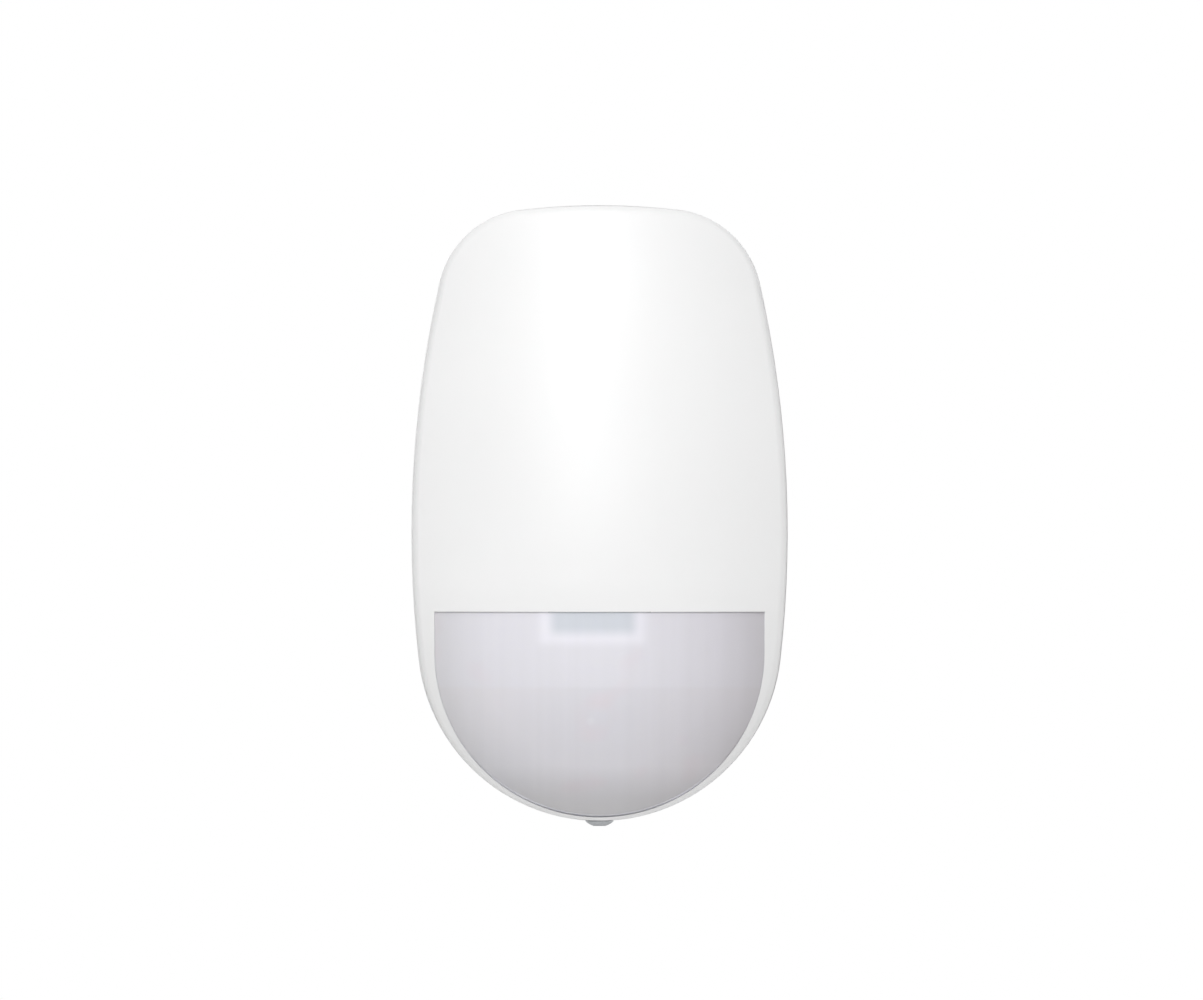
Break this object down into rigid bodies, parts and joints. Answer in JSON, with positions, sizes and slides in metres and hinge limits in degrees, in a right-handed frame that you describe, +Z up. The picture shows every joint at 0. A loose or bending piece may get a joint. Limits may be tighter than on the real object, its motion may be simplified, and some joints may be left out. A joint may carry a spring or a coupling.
{
  "type": "motion sensor",
  "caption": "Wall motion sensor: egg-shaped white housing with a curved milky lens below, front hinged at the top and held by a screw underneath, with board, battery and sensor inside",
  "frame": {"origin": "middle of the wall face, on the wall plane", "axes": "+Y points into the wall, so the front faces -Y; +Z is up; +X is to the right as seen from the front"},
  "size_m": [0.0654, 0.0485, 0.1081],
  "materials": {
    "housing_plastic": "white moulded ABS, fine matt texture",
    "milky_lens": "milky translucent polyethylene, smooth outside, grooved inside",
    "light_guide": "clear blue-grey acrylic",
    "inner_plastic": "white moulded plastic",
    "black_plastic": "black moulded plastic",
    "plunger_plastic": "natural acetal",
    "board_laminate": "green solder mask over glass-epoxy",
    "sensor_metal": "nickel-plated pressed metal",
    "filter_window": "polished silicon infrared filter",
    "led_resin": "clear resin",
    "cell_jacket": "plain dark shrink jacket",
    "spring_steel": "nickel-plated spring steel",
    "plated_steel": "zinc-plated screw steel",
    "brass_insert": "turned brass",
    "chip_resin": "black moulded epoxy",
    "capacitor_can": "drawn aluminium can"
  },
  "bodies": {
    "base": {"back_plate": "housing_plastic", "lug_insert": "brass_insert"},
    "front": {"front_cover": "housing_plastic", "fresnel_lens": "milky_lens", "light_guide": "light_guide", "guide_bezel": "inner_plastic", "circuit_board": "board_laminate", "pyro_header": "sensor_metal", "pyro_spacer": "black_plastic", "pyro_can": "sensor_metal", "pyro_window": "filter_window", "sensor_hood": "inner_plastic", "status_led": "led_resin", "battery_cell": "cell_jacket", "battery_holder": "black_plastic", "battery_contact_positive": "spring_steel", "battery_contact_negative": "spring_steel", "tamper_switch_case": "black_plastic", "enrol_switch_case": "sensor_metal", "microcontroller": "chip_resin", "radio_shield": "sensor_metal", "antenna": "spring_steel", "supply_capacitor": "capacitor_can", "board_screw_1": "plated_steel", "board_screw_2": "plated_steel", "board_screw_3": "plated_steel", "board_screw_4": "plated_steel"},
    "screw_carrier": {"screw_retaining_ring": "spring_steel"},
    "screw": {"housing_screw": "plated_steel"},
    "tamper": {"tamper_plunger": "plunger_plastic"},
    "enrol": {"enrol_button": "black_plastic"}
  },
  "joints": [
    {"name": "cover_swing", "type": "hinge", "parent": "base", "child": "front", "pos_m": [0, -0.007, 0.0504], "axis": [-1, 0, 0], "range_deg": [0, 35]},
    {"name": "screw_slide", "type": "slide", "parent": "base", "child": "screw_carrier", "axis": [0, 0, -1], "range_m": [0, 0.004]},
    {"name": "screw_turn", "type": "hinge", "parent": "screw_carrier", "child": "screw", "pos_m": [0, -0.009, -0.05], "axis": [0, 0, -1], "range_deg": [0, 2880]},
    {"name": "tamper_press", "type": "slide", "parent": "front", "child": "tamper", "axis": [0, 1, 0], "range_m": [0, 0.0013], "stiffness_N_per_m": 60, "springref_m": 0.0013},
    {"name": "enrol_press", "type": "slide", "parent": "front", "child": "enrol", "axis": [0, -1, 0], "range_m": [0, 0.00025], "stiffness_N_per_m": 400, "springref_m": -0.0002}
  ],
  "couplings": [
    {"joint": "screw_turn", "follows": "screw_slide", "rad_per_m": 12566},
    {"joint": "tamper_press", "follows": "cover_swing", "m_per_rad": 0.002128}
  ]
}
